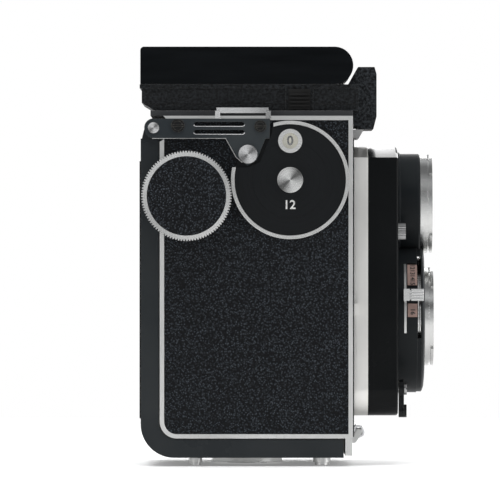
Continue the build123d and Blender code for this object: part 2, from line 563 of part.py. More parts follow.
def shutter():
    """The shutter round the taking lens, with its blades, levers and exposure scale."""
    base = rod_x(HOUSING_FRONT, 58.5, 0, TAKE_Z, SHUTTER_R)
    base += rod_x(58.5, 59.9, 0, TAKE_Z, 18.3)
    base += rod_x(HOUSING_FRONT - 6.0, HOUSING_FRONT, 0, TAKE_Z, 15.9)
    base -= rod_x(40, 70, 0, TAKE_Z, 13.5)
    recess = ring_x(55.0, 58.5, 0, TAKE_Z, SHUTTER_R + 1, SHUTTER_R - 0.55)
    base -= recess & block(50, 60, -30, 0, TAKE_Z, TAKE_Z + 18.8)
    spacer = ring_x(58.5, 59.9, 0, TAKE_Z, SHUTTER_R - 0.3, 21.0)
    base += spacer & block(50, 60, -30, 30, TAKE_Z - 30, TAKE_Z - 7.0)
    base += spacer & block(50, 60, -30, 30, TAKE_Z + 21.0, TAKE_Z + 30)
    base -= rod_x(50, 70, 0, VIEW_Z, BARREL_R + 0.55)
    cell = ring_x(46.2, 54.8, 0, TAKE_Z, 13.6, 12.45)
    save("shutter_housing", base + cell)
    profile = [(59.9, 13.5), (59.9, 25.8), (60.4, 25.4), (60.9, 24.0), (61.1, 22.0), (61.1, 13.5)]
    cover = turned_x(profile, 0, TAKE_Z)
    cover -= rod_x(50, 70, 0, VIEW_Z, BARREL_R + 0.55)
    save("shutter_cover", cover)
    front_glass = lens(61.6, 58.8, 56.0, 55.2, 13.4, TAKE_Z)
    save("taking_lenses", front_glass, lens(48.9, 47.8, 46.6, 45.8, 12.4, TAKE_Z))
    blades = [rod_x(51.0 + 0.3 * n, 51.2 + 0.3 * n, 0, TAKE_Z, 12.4) for n in range(3)]
    save("shutter_blades", *blades)
    save("aperture_lever", ring_slot_lever("right", 58.7))
    save("speed_lever", ring_slot_lever("left", 59.3))
    strip = ring_x(55.1, 58.4, 0, TAKE_Z, SHUTTER_R - 0.05, SHUTTER_R - 0.5)
    scale = strip & block(52, 60, -30, -20, TAKE_Z + 0.3, TAKE_Z + 4.9)
    more = strip & block(52, 60, -30, -10, TAKE_Z + 11.2, TAKE_Z + 18.2)
    save("exposure_scale", scale, more)


def lens_board_controls():
    """Release lever, self-timer lever and flash socket on the face of the lens board."""
    pivot_y, pivot_z = -24.5, 26.0
    arm = rod_x(52.0, 53.8, pivot_y, pivot_z, 3.2)
    arm += block(52.0, 53.8, pivot_y - 1.6, pivot_y + 1.6, 17.5, pivot_z)
    arm += rod_x(52.0, 53.8, pivot_y, 18.2, 2.0)
    arm += rod_x(53.8, 54.7, pivot_y, 18.4, 2.2)
    arm -= rod_x(50, 60, pivot_y, pivot_z, 1.2 + RUN)
    save("release_lever", arm)
    screw = rod_x(HOUSING_FRONT, 53.9, pivot_y, pivot_z, 1.2) + rod_x(53.9, 54.8, pivot_y, pivot_z, 2.1)
    screw -= block(54.4, 55, pivot_y - 3, pivot_y + 3, pivot_z - 0.25, pivot_z + 0.25)
    timer_y, timer_z = 24.5, 74.0
    other = rod_x(HOUSING_FRONT, 53.9, timer_y, timer_z, 1.2) + rod_x(53.9, 54.6, timer_y, timer_z, 2.0)
    timer = rod_x(52.0, 53.8, timer_y, timer_z, 3.0)
    timer += block(52.0, 53.8, timer_y - 1.4, timer_y + 1.4, timer_z, 83.0)
    timer += rod_x(52.0, 55.0, timer_y, 82.6, 1.9)
    timer -= rod_x(50, 60, timer_y, timer_z, 1.2 + RUN)
    save("self_timer_lever", timer)
    face = Pos(-24.5, 80.0) * knurled(2.8, 20, 0.25)
    socket = slab_x(face, HOUSING_FRONT, 54.4) - rod_x(52.6, 56, -24.5, 80.0, 1.5)
    socket += rod_x(HOUSING_FRONT, 54.0, -24.5, 80.0, 0.5)
    cable = ring_x(HOUSING_FRONT, 55.0, 24.5, 26.0, 2.6, 1.5)
    save("lens_board_fittings", screw, other, socket, cable)


# ---------------------------------------------------------------- folding hood

def hood_base():
    """The box round the screen, open in the middle, with the rail for the release slider."""
    base = block(-36.0, 38.0, -HOOD_Y, HOOD_Y, BASE_BOTTOM, BASE_TOP - 1.3)
    wedge = outline((-37, 120), (-34.2, 120), (-30.9, 121.0), (-34.5, 123.0), (-36.1, 124), (-37, 124))
    base -= slab_y(wedge, -40, 40)
    base += block(-36.7, 38.0, -HOOD_Y - 0.5, HOOD_Y + 0.5, BASE_TOP - 1.3, BASE_TOP)
    line_z = BASE_BOTTOM + 2.1
    groove = block(-40, 40, -40, 40, line_z, line_z + 0.25)
    groove -= block(-35.6, 37.6, -HOOD_Y + 0.4, HOOD_Y - 0.4, line_z - 1, line_z + 1)
    base -= groove
    base -= block(-31.5, 34.0, -31.0, 31.0, BASE_BOTTOM - 1, BASE_TOP + 1)
    base += block(13.2, 22.6, -HOOD_Y - 0.5, -HOOD_Y + 0.1, BASE_BOTTOM, BASE_TOP - 1.3)
    save("hood_base", base)
    pins = [rod_y(REAR_HINGE_X, REAR_PANEL_Z - 0.4, -29.0, 29.0, 0.5)]
    hinge_blocks = []
    for side in (-1, 1):
        y0, y1 = sorted((side * 29.0, side * 30.6))
        hinge_blocks.append(block(-35.0, -33.2, y0, y1, BASE_TOP, REAR_PANEL_Z + 0.3))
        pins.append(rod_x(-29.0, 22.0, side * SIDE_HINGE_Y, SIDE_PANEL_Z, 0.45))
        for x0, x1 in ((-31.0, -29.0), (22.0, 23.6)):
            y0, y1 = sorted((side * (SIDE_HINGE_Y - 0.8), side * (SIDE_HINGE_Y + 0.8)))
            hinge_blocks.append(block(x0, x1, y0, y1, BASE_TOP, SIDE_PANEL_Z + 0.6))
    lugs = [block(29.0, 31.4, y0, y1, BASE_TOP, NOSE_Z + 1.0) for y0, y1 in ((-32.6, -31.0), (31.0, 32.6))]
    lugs = [lug - rod_y(NOSE_X, NOSE_Z, -40, 40, 1.0 + RUN) for lug in lugs]
    save("hood_hinges", *pins, *hinge_blocks, *lugs)


def hood_lid():
    """The lid with its round nose on the hinge line, and the lugs for the magnifier."""
    back = LID_REAR
    face = outline((back, BASE_TOP + 0.1), (NOSE_X, BASE_TOP + 0.1), (NOSE_X, LID_TOP), (back, LID_TOP))
    corner = face.vertices().sort_by(lambda v: v.Y - v.X)[-1]
    face = fillet([corner], 1.3) + Pos(NOSE_X, NOSE_Z) * Circle(NOSE_R - 0.1)
    lid = slab_y(face, -LID_Y, LID_Y)
    inner_top = LID_TOP - LID_WALL
    inside = outline((back + LID_WALL, 120), (NOSE_X, 120), (NOSE_X, inner_top), (back + LID_WALL, inner_top))
    inside += Pos(NOSE_X, NOSE_Z) * Circle(NOSE_R - LID_WALL)
    lid -= slab_y(inside, -LID_Y + LID_WALL, LID_Y - LID_WALL)
    for side in (-1, 1):
        lid -= block(NOSE_X - 1.6, NOSE_X + 8, side * 30.8, side * 32.8, NOSE_Z - 8, NOSE_Z + 1.6)
        lid += rod_y(NOSE_X, NOSE_Z, side * (LID_Y - LID_WALL - 0.1), side * 30.6, 1.0)
    for y in (-17, 17):
        lid += rod_y(MAGNIFIER_X, MAGNIFIER_Z, y - 1.0, y + 1.0, 1.3)
        lid += block(MAGNIFIER_X - 1.3, MAGNIFIER_X + 1.3, y - 1.0, y + 1.0, MAGNIFIER_Z, inner_top + 0.1)
    lid += rod_y(MAGNIFIER_X, MAGNIFIER_Z, -17, 17, 0.6)
    lid += block(-1.4, 1.0, -8.0, 8.0, LID_TOP - 0.1, LID_TOP + 0.5)
    save("hood_lid", lid)


def hood_panels():
    """The rear and side panels that fold up to shade the screen."""
    length = 36.0
    rear = block(REAR_HINGE_X + 1.2, REAR_HINGE_X + length, -28.6, 28.6, REAR_PANEL_Z, REAR_PANEL_Z + PANEL_T)
    sleeve = rod_y(REAR_HINGE_X, REAR_PANEL_Z - 0.4, -28.6, 28.6, 1.1)
    sleeve += block(REAR_HINGE_X, REAR_HINGE_X + 1.4, -28.6, 28.6, REAR_PANEL_Z - 0.1, REAR_PANEL_Z + 0.7)
    rear += sleeve
    rear -= rod_y(REAR_HINGE_X, REAR_PANEL_Z - 0.4, -40, 40, 0.5 + RUN)
    save("hood_rear_panel", rear)
    height = 29.6
    for side in ("left", "right"):
        x0, x1 = -28.6, 21.6
        flap = outline((x0, SIDE_HINGE_Y), (x1, SIDE_HINGE_Y), (x1 - height + 4.6, SIDE_HINGE_Y - height),
                       (x0 + height - 4.6, SIDE_HINGE_Y - height))
        leaf = slab_z(flap, SIDE_PANEL_Z - 0.4, SIDE_PANEL_Z + 0.4)
        leaf -= block(x0 - 1, x1 + 1, SIDE_HINGE_Y - 0.9, SIDE_HINGE_Y + 2, 120, 140)
        leaf += rod_x(x0, x1, SIDE_HINGE_Y, SIDE_PANEL_Z, 0.95)
        leaf -= rod_x(x0 - 1, x1 + 1, SIDE_HINGE_Y, SIDE_PANEL_Z, 0.45 + RUN)
        save("hood_side_" + side, side_of(leaf, side))


def magnifier():
    """The folding magnifier in its frame."""
    far = MAGNIFIER_X - 25.5
    middle = (MAGNIFIER_X - 1.0 + far) / 2
    face = fillet(Rectangle(MAGNIFIER_X - 1.0 - far, 29.0).vertices(), 3.0) - Circle(10.6)
    frame = slab_z(Pos(middle, 0) * face, MAGNIFIER_Z - 0.9, MAGNIFIER_Z + 0.3)
    frame += Pos(middle, 0) * slab_z(Circle(11.8) - Circle(10.6), MAGNIFIER_Z - 2.4, MAGNIFIER_Z)
    frame += rod_y(MAGNIFIER_X, MAGNIFIER_Z, -14.0, 14.0, 1.25)
    frame += block(MAGNIFIER_X - 2.5, MAGNIFIER_X, -14.0, 14.0, MAGNIFIER_Z - 0.9, MAGNIFIER_Z + 0.3)
    frame -= rod_y(MAGNIFIER_X, MAGNIFIER_Z, -20, 20, 0.6 + RUN)
    save("magnifier_frame", frame)
    glass = slab_z(Pos(middle, 0) * Circle(10.55), MAGNIFIER_Z - 1.8, MAGNIFIER_Z - 0.2)
    save("magnifier_lens", glass)


def hood_slider():
    """The ribbed catch on the hood's right side, on a plate with a slot."""
    plate = block(14.1, 21.7, -35.9, -35.05, 121.6, 128.6)
    for n in range(4):
        z = 122.9 + 1.3 * n
        plate += block(14.5, 21.3, -36.6, -35.8, z - 0.28, z + 0.28)
    save("hood_release_slider", plate)


def front_block():
    """The plain block in front of the hood, with a web towards the lid."""
    shape = outline((38.0, 115.1), (43.4, 115.2), (44.5, 119.5), (44.5, 134.1), (43.8, 136.5),
                    (38.2, 136.5), (38.0, 136.3))
    solid = slab_y(shape, -21.0, 21.0)
    solid += block(36.1, 38.1, -21.0, 21.0, 115.9, BASE_BOTTOM - 0.05)
    solid -= rod_y(NOSE_X, NOSE_Z, -60, 60, NOSE_R + 0.8)
    web = slab_y(outline((34.6, BASE_TOP + 0.05), (38.0, BASE_TOP + 0.05), (38.0, 136.3)), -21.0, 21.0)
    save("front_block", solid, web)


# ---------------------------------------------------------------- back door

def door_band():
    """The door from the side: a band down the back that turns forward under the body."""
    outer = outline((DOOR_REAR, DOOR_BOTTOM), (DOOR_FRONT, DOOR_BOTTOM), (DOOR_FRONT, 111.6),
                    (DOOR_REAR, 111.6))
    corner = outer.vertices().sort_by(lambda v: v.X + v.Y)[0]
    outer = fillet([corner], DOOR_R)
    keep = outline((BODY_REAR - SEAM, BODY_BOTTOM - SEAM), (60, BODY_BOTTOM - SEAM), (60, 130),
                   (BODY_REAR - SEAM, 130))
    inner_corner = keep.vertices().sort_by(lambda v: v.X + v.Y)[0]
    keep = fillet([inner_corner], CORNER_R + SEAM)
    return outer - keep


def back_door():
    """The L-shaped back and bottom door."""
    band = door_band()
    shell = slab_y(band, -DOOR_Y, DOOR_Y)
    ear = outline((DOOR_REAR, 110), (-30.2, 110), (-28.9, HINGE_Z), (HINGE_X, HINGE_Z + 3.0), (-34.6, HINGE_Z))
    shell += slab_y(Pos(HINGE_X, HINGE_Z) * Circle(3.2) + ear, -DOOR_Y, DOOR_Y)
    hollow_rear, hollow_bottom = DOOR_REAR + DOOR_WALL, DOOR_BOTTOM + DOOR_WALL
    hollow = outline((hollow_rear, hollow_bottom), (DOOR_FRONT - 1.0, hollow_bottom),
                     (DOOR_FRONT - 1.0, 130), (hollow_rear, 130))
    corner = hollow.vertices().sort_by(lambda v: v.X + v.Y)[0]
    hollow = fillet([corner], DOOR_R - DOOR_WALL)
    shell -= slab_y(hollow, -COVER_IN_Y, COVER_IN_Y)
    shell += slab_y(outline((DOOR_REAR, 110), (DOOR_REAR + DOOR_WALL, 110), (-33.6, HINGE_Z), (-33.9, 116.5),
                            (-35.2, 114.6)), -COVER_IN_Y, COVER_IN_Y)
    shell -= rod_y(HINGE_X, HINGE_Z, -50, 50, 1.5 + RUN)
    shell -= rod_z(0, 0, 0, 6, 8.0)
    shell -= block(31.0, 34.0, -4.2, 4.2, 4.65, 6.35)
    save("back_door", shell)
    face = Pos(0, 60) * RectangleRounded(70.0, 88.0, 2.0)
    save("door_leather", slab_x(face, DOOR_REAR - 0.45, DOOR_REAR))


def door_fittings():
    """Lock ring, bolt, guides, feet, pressure plate and springs on the door."""
    post = rod_z(0, 0, 0.0, 2.6, 7.0) + rod_z(0, 0, 2.6, 8.6, 8.0) - rod_z(0, 0, -1, 7.4, 3.3)
    save("tripod_socket", post)
    ring = rod_z(0, 0, 0.5, 2.4, 12.0) - rod_z(0, 0, -1, 5, 7.0 + RUN)
    for angle in (90, 270):
        lug = block(10.5, 14.8, -1.3, 1.3, 0.5, 2.4)
        ring += lug.rotate(Axis.Z, angle)
    save("door_lock_ring", ring)
    bolt = block(20.0, 34.2, -4.0, 4.0, 4.8, 6.2)
    save("door_bolt", bolt)
    guides = [block(22.0, 30.0, y0, y1, 4.2, 7.0) for y0, y1 in ((-6.0, -4.1), (4.1, 6.0))]
    guides += [block(22.0, 30.0, -6.0, 6.0, 7.0, 7.6)]
    feet = []
    for side in (-1, 1):
        for x, r in ((-17.7, 1.8), (25.6, 2.5)):
            foot = rod_z(x, side * 29.0, 0.0, DOOR_BOTTOM, r)
            foot += rod_z(x, side * 29.0, 0.9, DOOR_BOTTOM, r + 0.5)
            feet.append(foot)
    save("feet", *feet)
    plate = slab_x(Pos(0, TAKE_Z) * RectangleRounded(62.0, 64.0, 2.0), -31.2, -30.2)
    save("pressure_plate", plate)
    springs = []
    for z in (TAKE_Z - 18, TAKE_Z + 18):
        springs.append(block(DOOR_REAR + DOOR_WALL, -33.4, -3.0, 3.0, z - 3.0, z + 3.0))
    save("door_inner_fittings", guides[0] + guides[1] + guides[2], *springs)


def catch_loop():
    """An oval wire loop hinged on the front lip."""
    ring = SlotOverall(4.6, 3.4) - SlotOverall(3.0, 1.8)
    loop = Pos(CATCH[0], 0, CATCH[1]) * Rot(0, -25, 0) * slab_y(Rot(0, 0, 90) * ring, -7.0, 7.0)
    save("catch_loop", loop)


def main():
    """Builds every node."""
    os.makedirs("parts", exist_ok=True)
    body_casting()
    side_covers()
    top_frame()
    strap_plates()
    counter()
    wind()
    focus_knob()
    lens_board()
    viewing_lens()
    shutter()
    lens_board_controls()
    hood_base()
    hood_lid()
    hood_panels()
    magnifier()
    hood_slider()
    front_block()
    back_door()
    door_fittings()
    catch_loop()


main()
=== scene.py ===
import json
import math

import bmesh
import bpy
from mathutils import Matrix, Vector


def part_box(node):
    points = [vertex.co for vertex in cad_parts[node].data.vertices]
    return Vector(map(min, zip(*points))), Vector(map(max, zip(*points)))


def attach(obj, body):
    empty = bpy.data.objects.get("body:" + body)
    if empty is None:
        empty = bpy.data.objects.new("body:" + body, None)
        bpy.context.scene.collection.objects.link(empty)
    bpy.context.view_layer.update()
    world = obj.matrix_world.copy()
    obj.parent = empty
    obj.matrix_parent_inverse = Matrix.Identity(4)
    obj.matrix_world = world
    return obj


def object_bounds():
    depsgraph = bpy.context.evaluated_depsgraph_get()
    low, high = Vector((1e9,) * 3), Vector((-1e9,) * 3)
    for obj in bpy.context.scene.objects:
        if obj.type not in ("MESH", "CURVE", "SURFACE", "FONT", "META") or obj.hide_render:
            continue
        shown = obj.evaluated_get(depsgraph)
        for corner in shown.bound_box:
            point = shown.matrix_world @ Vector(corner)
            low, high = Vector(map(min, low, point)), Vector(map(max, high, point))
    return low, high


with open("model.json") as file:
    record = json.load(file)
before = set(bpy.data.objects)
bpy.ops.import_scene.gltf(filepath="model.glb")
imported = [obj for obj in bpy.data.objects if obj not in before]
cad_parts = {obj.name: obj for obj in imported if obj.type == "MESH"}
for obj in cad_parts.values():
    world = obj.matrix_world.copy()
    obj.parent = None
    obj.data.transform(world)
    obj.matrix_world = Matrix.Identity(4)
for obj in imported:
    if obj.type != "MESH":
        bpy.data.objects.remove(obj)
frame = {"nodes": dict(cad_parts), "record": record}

CAD_LOW, CAD_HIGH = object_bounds()
NODES = frame["nodes"]
MM = 0.001
WHITE = (1.0, 1.0, 1.0, 1.0)

FLOOR_REACH = 0.7        # metres from the middle of the floor to its sides
FLOOR_GAP = 0.2 * MM     # between the feet and the floor
CAMERA_DISTANCE = 2.4    # metres from the right side
VIEW_WIDTH = 0.170       # metres taken in at that distance
CAMERA_X = 1.0 * MM
CAMERA_Z = 73.6 * MM
SENSOR_WIDTH = 36.0

SCREW_DISC_RADIUS = 3.2  # of the lower screw on the strap plates, in millimetres
SCREW_DISC_X = 0.3
DIAL_NUMBER_DEPTH = 0.03
DIAL_NUMBERS = 12


# ---------------------------------------------------------------- node helpers

def fill_ramp(ramp, stops):
    """Sets a colour ramp's stops, each a place with a grey level or a colour."""
    while len(ramp.elements) < len(stops):
        ramp.elements.new(0.5)
    for element, (place, value) in zip(ramp.elements, stops):
        element.position = place
        element.color = (*value, 1.0) if isinstance(value, tuple) else (value, value, value, 1.0)


class Shader:
    """A principled material with a few short calls for its procedural nodes."""

    def __init__(self, name, colour, rough, metal=0.0, **sockets):
        self.material = bpy.data.materials.new(name)
        self.material.use_nodes = True
        self.tree = self.material.node_tree
        self.bsdf = self.tree.nodes["Principled BSDF"]
        self.bsdf.inputs["Base Color"].default_value = (*colour, 1.0)
        self.bsdf.inputs["Roughness"].default_value = rough
        self.bsdf.inputs["Metallic"].default_value = metal
        for socket, value in sockets.items():
            self.bsdf.inputs[socket.replace("_", " ")].default_value = value
        self.where = self.tree.nodes.new("ShaderNodeTexCoord").outputs["Object"]

    def link(self, out, node, socket):
        self.tree.links.new(out, node.inputs[socket])

    def new(self, kind):
        return self.tree.nodes.new("ShaderNode" + kind)

    def feed(self, node, socket, value):
        """Sets an input: a link from an output, or a plain value."""
        if isinstance(value, bpy.types.NodeSocket):
            self.tree.links.new(value, node.inputs[socket])
        else:
            node.inputs[socket].default_value = value

    def stretched(self, scale):
        """The object's own coordinates, scaled along each axis."""
        node = self.new("Mapping")
        node.inputs["Scale"].default_value = scale
        self.link(self.where, node, "Vector")
        return node.outputs["Vector"]

    def noise(self, scale, detail=3.0, vector=None, rough=0.5):
        node = self.new("TexNoise")
        node.inputs["Scale"].default_value = scale
        node.inputs["Detail"].default_value = detail
        node.inputs["Roughness"].default_value = rough
        self.link(vector or self.where, node, "Vector")
        return node.outputs["Fac"]

    def cells(self, scale, feature="F1", vector=None):
        node = self.new("TexVoronoi")
        node.feature = feature
        node.inputs["Scale"].default_value = scale
        self.link(vector or self.where, node, "Vector")
        return node.outputs["Distance"]

    def maths(self, operation, *values):
        node = self.new("Math")
        node.operation = operation
        for n, value in enumerate(values):
            self.feed(node, n, value)
        return node.outputs[0]

    def vector(self, operation, *values, output="Vector"):
        node = self.new("VectorMath")
        node.operation = operation
        for n, value in enumerate(values):
            self.feed(node, n, value)
        return node.outputs[output]

    def parts(self, vector):
        """The X, Y and Z of a vector."""
        node = self.new("SeparateXYZ")
        self.link(vector, node, "Vector")
        return node.outputs

    def mixed(self, factor, a, b, kind="RGBA", blend="MIX"):
        node = self.new("Mix")
        node.data_type = kind
        node.blend_type = blend
        for socket, value in (("Factor", factor), ("A", a), ("B", b)):
            self.feed(node, socket, value)
        return node.outputs["Result"]

    def ramp(self, factor, *stops):
        node = self.new("ValToRGB")
        self.link(factor, node, "Fac")
        fill_ramp(node.color_ramp, stops)
        return node.outputs["Color"]

    def colour(self, out):
        self.link(out, self.bsdf, "Base Color")

    def roughness(self, out):
        self.link(out, self.bsdf, "Roughness")

    def bumps(self, *layers, round_edges=0.0):
        """Layers are (height, distance in mm, strength); the edges catch light as if slightly rounded."""
        normal = None
        if round_edges:
            normal = self.bevelled(round_edges, 4)
        for height, distance, strength in layers:
            node = self.new("Bump")
            node.inputs["Distance"].default_value = distance * MM
            node.inputs["Strength"].default_value = strength
            self.link(height, node, "Height")
            if normal is not None:
                self.link(normal, node, "Normal")
            normal = node.outputs["Normal"]
        if normal is not None:
            self.link(normal, self.bsdf, "Normal")

    def bevelled(self, radius, samples):
        """Normals as if each edge were rounded by a radius in millimetres."""
        node = self.new("Bevel")
        node.samples = samples
        node.inputs["Radius"].default_value = radius * MM
        return node.outputs["Normal"]

    def worn_edges(self, base, bare, radius, width=0.35):
        """Mixes a base colour to a bare one where the surface turns a corner."""
        bevel = self.bevelled(radius, 6)
        plain = self.new("NewGeometry").outputs["Normal"]
        turn = self.maths("SUBTRACT", 1.0, self.vector("DOT_PRODUCT", bevel, plain, output="Value"))
        patchy = self.maths("MULTIPLY", turn, self.noise(260.0, 4.0))
        mask = self.ramp(patchy, (0.045, 0.0), (0.045 + 0.2 * width, 1.0))
        self.colour(self.mixed(mask, base, (*bare, 1.0)))


# ---------------------------------------------------------------- materials

def leatherette():
    """Small raised pebbles with creases between them; the colour is painted lighter on the pebble tops as a
    highlight and darker in the creases as shade.
    """
    s = Shader("leatherette", (0.012, 0.012, 0.013), 0.34, Specular_IOR_Level=0.14)
    warp = s.new("TexNoise")
    warp.inputs["Scale"].default_value = 420.0
    s.link(s.where, warp, "Vector")
    shift = s.new("VectorMath")
    shift.operation = "SCALE"
    shift.inputs["Scale"].default_value = 0.9 * MM
    s.feed(shift, 0, warp.outputs["Color"])
    dots = s.cells(1450.0, "F1", s.vector("ADD", s.where, shift.outputs["Vector"]))
    domes = s.ramp(dots, (0.0, 1.0), (0.3, 0.8), (0.62, 0.0))
    fine = s.noise(3600.0, 2.0)
    s.bumps((domes, 0.35, 1.0), (fine, 0.05, 0.5), round_edges=0.2)
    # Painted highlight and shade: pebble tops lighter, creases between them nearly black.
    s.colour(s.ramp(dots, (0.0, (0.085, 0.098, 0.115)), (0.3, (0.020, 0.024, 0.029)),
                    (0.6, (0.003, 0.0035, 0.0045))))
    s.roughness(s.ramp(s.noise(90.0), (0.3, 0.34), (0.7, 0.5)))
    return s.material


def enamel(name, shade=0.005, rough=0.24, wear=0.35, bare=(0.16, 0.15, 0.13), specular=0.16):
    """Black enamel with faint orange peel and worn corners."""
    s = Shader(name, (shade, shade, shade), rough, Specular_IOR_Level=specular, Coat_Weight=0.04, Coat_Roughness=0.1)
    peel = s.noise(700.0, 2.0)
    smudge = s.noise(38.0, 5.0)
    s.bumps((peel, 0.03, 0.35), round_edges=0.18)
    s.roughness(s.ramp(smudge, (0.35, rough * 0.8), (0.7, rough * 1.5)))
    tint = s.ramp(smudge, (0.3, (shade * 0.8, shade, shade * 1.15)), (0.75, (shade * 1.5, shade * 1.7, shade * 1.8)))
    s.worn_edges(tint, bare, 0.16, wear)
    return s.material


def crinkle(name="crinkle_black", shade=0.009):
    """Fine wrinkled black paint."""
    s = Shader(name, (0.012, 0.012, 0.012), 0.5, Specular_IOR_Level=0.16)
    cells = s.cells(1500.0, "SMOOTH_F1")
    coarse = s.noise(1100.0, 4.0, rough=0.65)
    height = s.maths("ADD", cells, coarse)
    s.bumps((height, 0.22, 0.8), round_edges=0.25)
    low, high = 0.1 * shade, 2.0 * shade
    tone = s.ramp(coarse, (0.40, (low, low * 1.1, low * 1.25)), (0.62, (high, high * 1.12, high * 1.25)))
    s.worn_edges(tone, (0.10, 0.10, 0.10), 0.2, 0.6)
    return s.material


def matte_black():
    """Dull black paint on castings, a little grainy."""
    shade = 0.012
    s = Shader("cast_black", (shade, shade, shade), 0.7, Specular_IOR_Level=0.16)
    grain = s.noise(2200.0, 3.0)
    s.bumps((grain, 0.08, 0.6), round_edges=0.2)
    s.colour(s.ramp(s.noise(60.0, 4.0), (0.3, shade * 0.7), (0.7, shade * 1.6)))
    return s.material


def satin_black():
    """The hood's satin paint: even, with faint rub marks along its length."""
    s = Shader("satin_black", (0.006, 0.006, 0.006), 0.3, Specular_IOR_Level=0.06)
    rub = s.noise(140.0, 4.0, s.stretched((0.25, 1.0, 2.0)))
    s.bumps((s.noise(900.0, 2.0), 0.03, 0.4), round_edges=0.3)
    s.roughness(s.ramp(rub, (0.3, 0.28), (0.7, 0.44)))
    tone = s.ramp(rub, (0.3, (0.0022, 0.0028, 0.0034)), (0.75, (0.005, 0.006, 0.007)))
    s.worn_edges(tone, (0.14, 0.14, 0.14), 0.2, 0.5)
    return s.material


def brushed(name, shade, rough, direction, bump=0.25):
    """Metal with a fine grain drawn out along one axis, 0 to 2."""
    s = Shader(name, shade, rough, 1.0)
    stretch = [3200.0, 3200.0, 3200.0]
    stretch[direction] = 60.0
    grain = s.noise(1.0, 3.0, s.stretched(tuple(stretch)))
    broad = s.noise(45.0, 4.0)
    s.bumps((grain, 0.02, bump), round_edges=0.15)
    s.roughness(s.ramp(grain, (0.25, rough * 0.75), (0.75, rough * 1.35)))
    low = tuple(c * 0.82 for c in shade)
    s.colour(s.ramp(broad, (0.3, low), (0.65, shade)))
    return s.material


def turned(name, shade, rough, centre, axis, metal=1.0, pitch=0.16, specular=0.5, drawn=0.75, fan=0.0, second=None):
    """Metal with the fine rings that a lathe leaves round one axis, or round the nearer of two along X.

    The pitch of the rings is in millimetres, and fan is how dark the painted highlight leaves the colour between its
    bright fan-shaped rays: shine painted into the colour by the rings' direction.
    """
    s = Shader(name, shade, rough, metal, Specular_IOR_Level=specular, Anisotropic=drawn)
    offset = tuple(-c for c in centre)
    if second:
        nearer = s.maths("GREATER_THAN", s.parts(s.where)["X"], (centre[0] + second[0]) / 2)
        offset = s.mixed(nearer, offset, tuple(-c for c in second), "VECTOR")
    flat = [1.0, 1.0, 1.0]
    flat[axis] = 0.0
    spoke = s.vector("MULTIPLY", s.vector("ADD", s.where, offset), flat)
    along = s.vector("NORMALIZE", s.vector("CROSS_PRODUCT", spoke, [1.0 - c for c in flat]))
    s.link(along, s.bsdf, "Tangent")
    radius = s.vector("LENGTH", spoke, output="Value")
    rings = s.maths("SINE", s.maths("MULTIPLY", radius, 2 * math.pi / (pitch * MM)))
    grain = s.new("TexNoise")
    grain.noise_dimensions = "1D"
    grain.inputs["Scale"].default_value = 1.0
    s.feed(grain, "W", s.maths("MULTIPLY", radius, 9000.0))
    s.bumps((rings, 0.012, 0.35), (grain.outputs["Fac"], 0.02, 0.4), round_edges=0.12)
    s.roughness(s.ramp(grain.outputs["Fac"], (0.3, rough * 0.8), (0.7, rough * 1.3)))
    low = tuple(c * 0.86 for c in shade)
    tone = s.ramp(s.noise(60.0, 4.0), (0.3, low), (0.7, shade))
    # Painted highlight: the colour is darkened where the rings' direction turns from a fixed slant, leaving bright
    # fan-shaped rays like lamp light on turned metal.
    if fan:
        parts = s.parts(along)
        lean = s.maths("ADD", s.maths("MULTIPLY", parts["X"], 0.77), s.maths("MULTIPLY", parts["Z"], 0.64))
        painted_sheen = s.ramp(s.maths("ABSOLUTE", lean), (0.15, 1.0 - fan), (0.55, 1.0 - 0.55 * fan), (0.97, 1.0))
        tone = s.mixed(1.0, tone, painted_sheen, blend="MULTIPLY")
    s.colour(tone)
    return s.material


def chrome():
    """Bright plating, slightly clouded by handling."""
    rough = 0.2
    s = Shader("chrome", (0.72, 0.72, 0.73), rough, 1.0)
    s.bumps((s.noise(1800.0, 2.0), 0.012, 0.3), round_edges=0.12)
    s.roughness(s.ramp(s.noise(80.0, 4.0), (0.35, rough * 0.7), (0.7, rough * 1.4)))
    s.colour(s.ramp(s.noise(55.0, 3.0), (0.3, (0.60, 0.60, 0.61)), (0.7, (0.78, 0.78, 0.79))))
    return s.material


def grey_paint():
    """Dark grey paint, with the bracket under the front block left pale."""
    s = Shader("grey_paint", (0.06, 0.062, 0.066), 0.42, Specular_IOR_Level=0.2)
    s.bumps((s.noise(1600.0, 3.0), 0.05, 0.4), round_edges=0.15)
    tone = s.ramp(s.noise(70.0, 4.0), (0.3, (0.030, 0.031, 0.034)), (0.7, (0.055, 0.057, 0.06)))
    past_body = s.maths("GREATER_THAN", s.parts(s.where)["X"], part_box("side_covers")[1].x)
    s.worn_edges(s.mixed(past_body, tone, (0.5, 0.5, 0.5, 1.0)), (0.35, 0.35, 0.35), 0.15, 0.4)
    return s.material


def brass():
    """Bare brass for the gears."""
    s = Shader("brass", (0.55, 0.38, 0.14), 0.3, 1.0)
    s.bumps((s.noise(1500.0, 2.0), 0.02, 0.3))
    s.colour(s.ramp(s.noise(120.0), (0.3, (0.42, 0.28, 0.10)), (0.7, (0.62, 0.44, 0.18))))
    return s.material


def cream(name, light, dark, painted_glow=0.0):
    """Pale enamel of a dial or a scale, in patches of two close tones, with a faint emission of its own colour set
    by glow: painted light, since the part is no lamp.
    """
    s = Shader(name, light, 0.4, Emission_Color=(*light, 1.0), Emission_Strength=painted_glow)
    s.colour(s.ramp(s.noise(300.0, 4.0), (0.3, dark), (0.7, light)))
    s.bumps((s.noise(2400.0, 2.0), 0.02, 0.3))
    return s.material


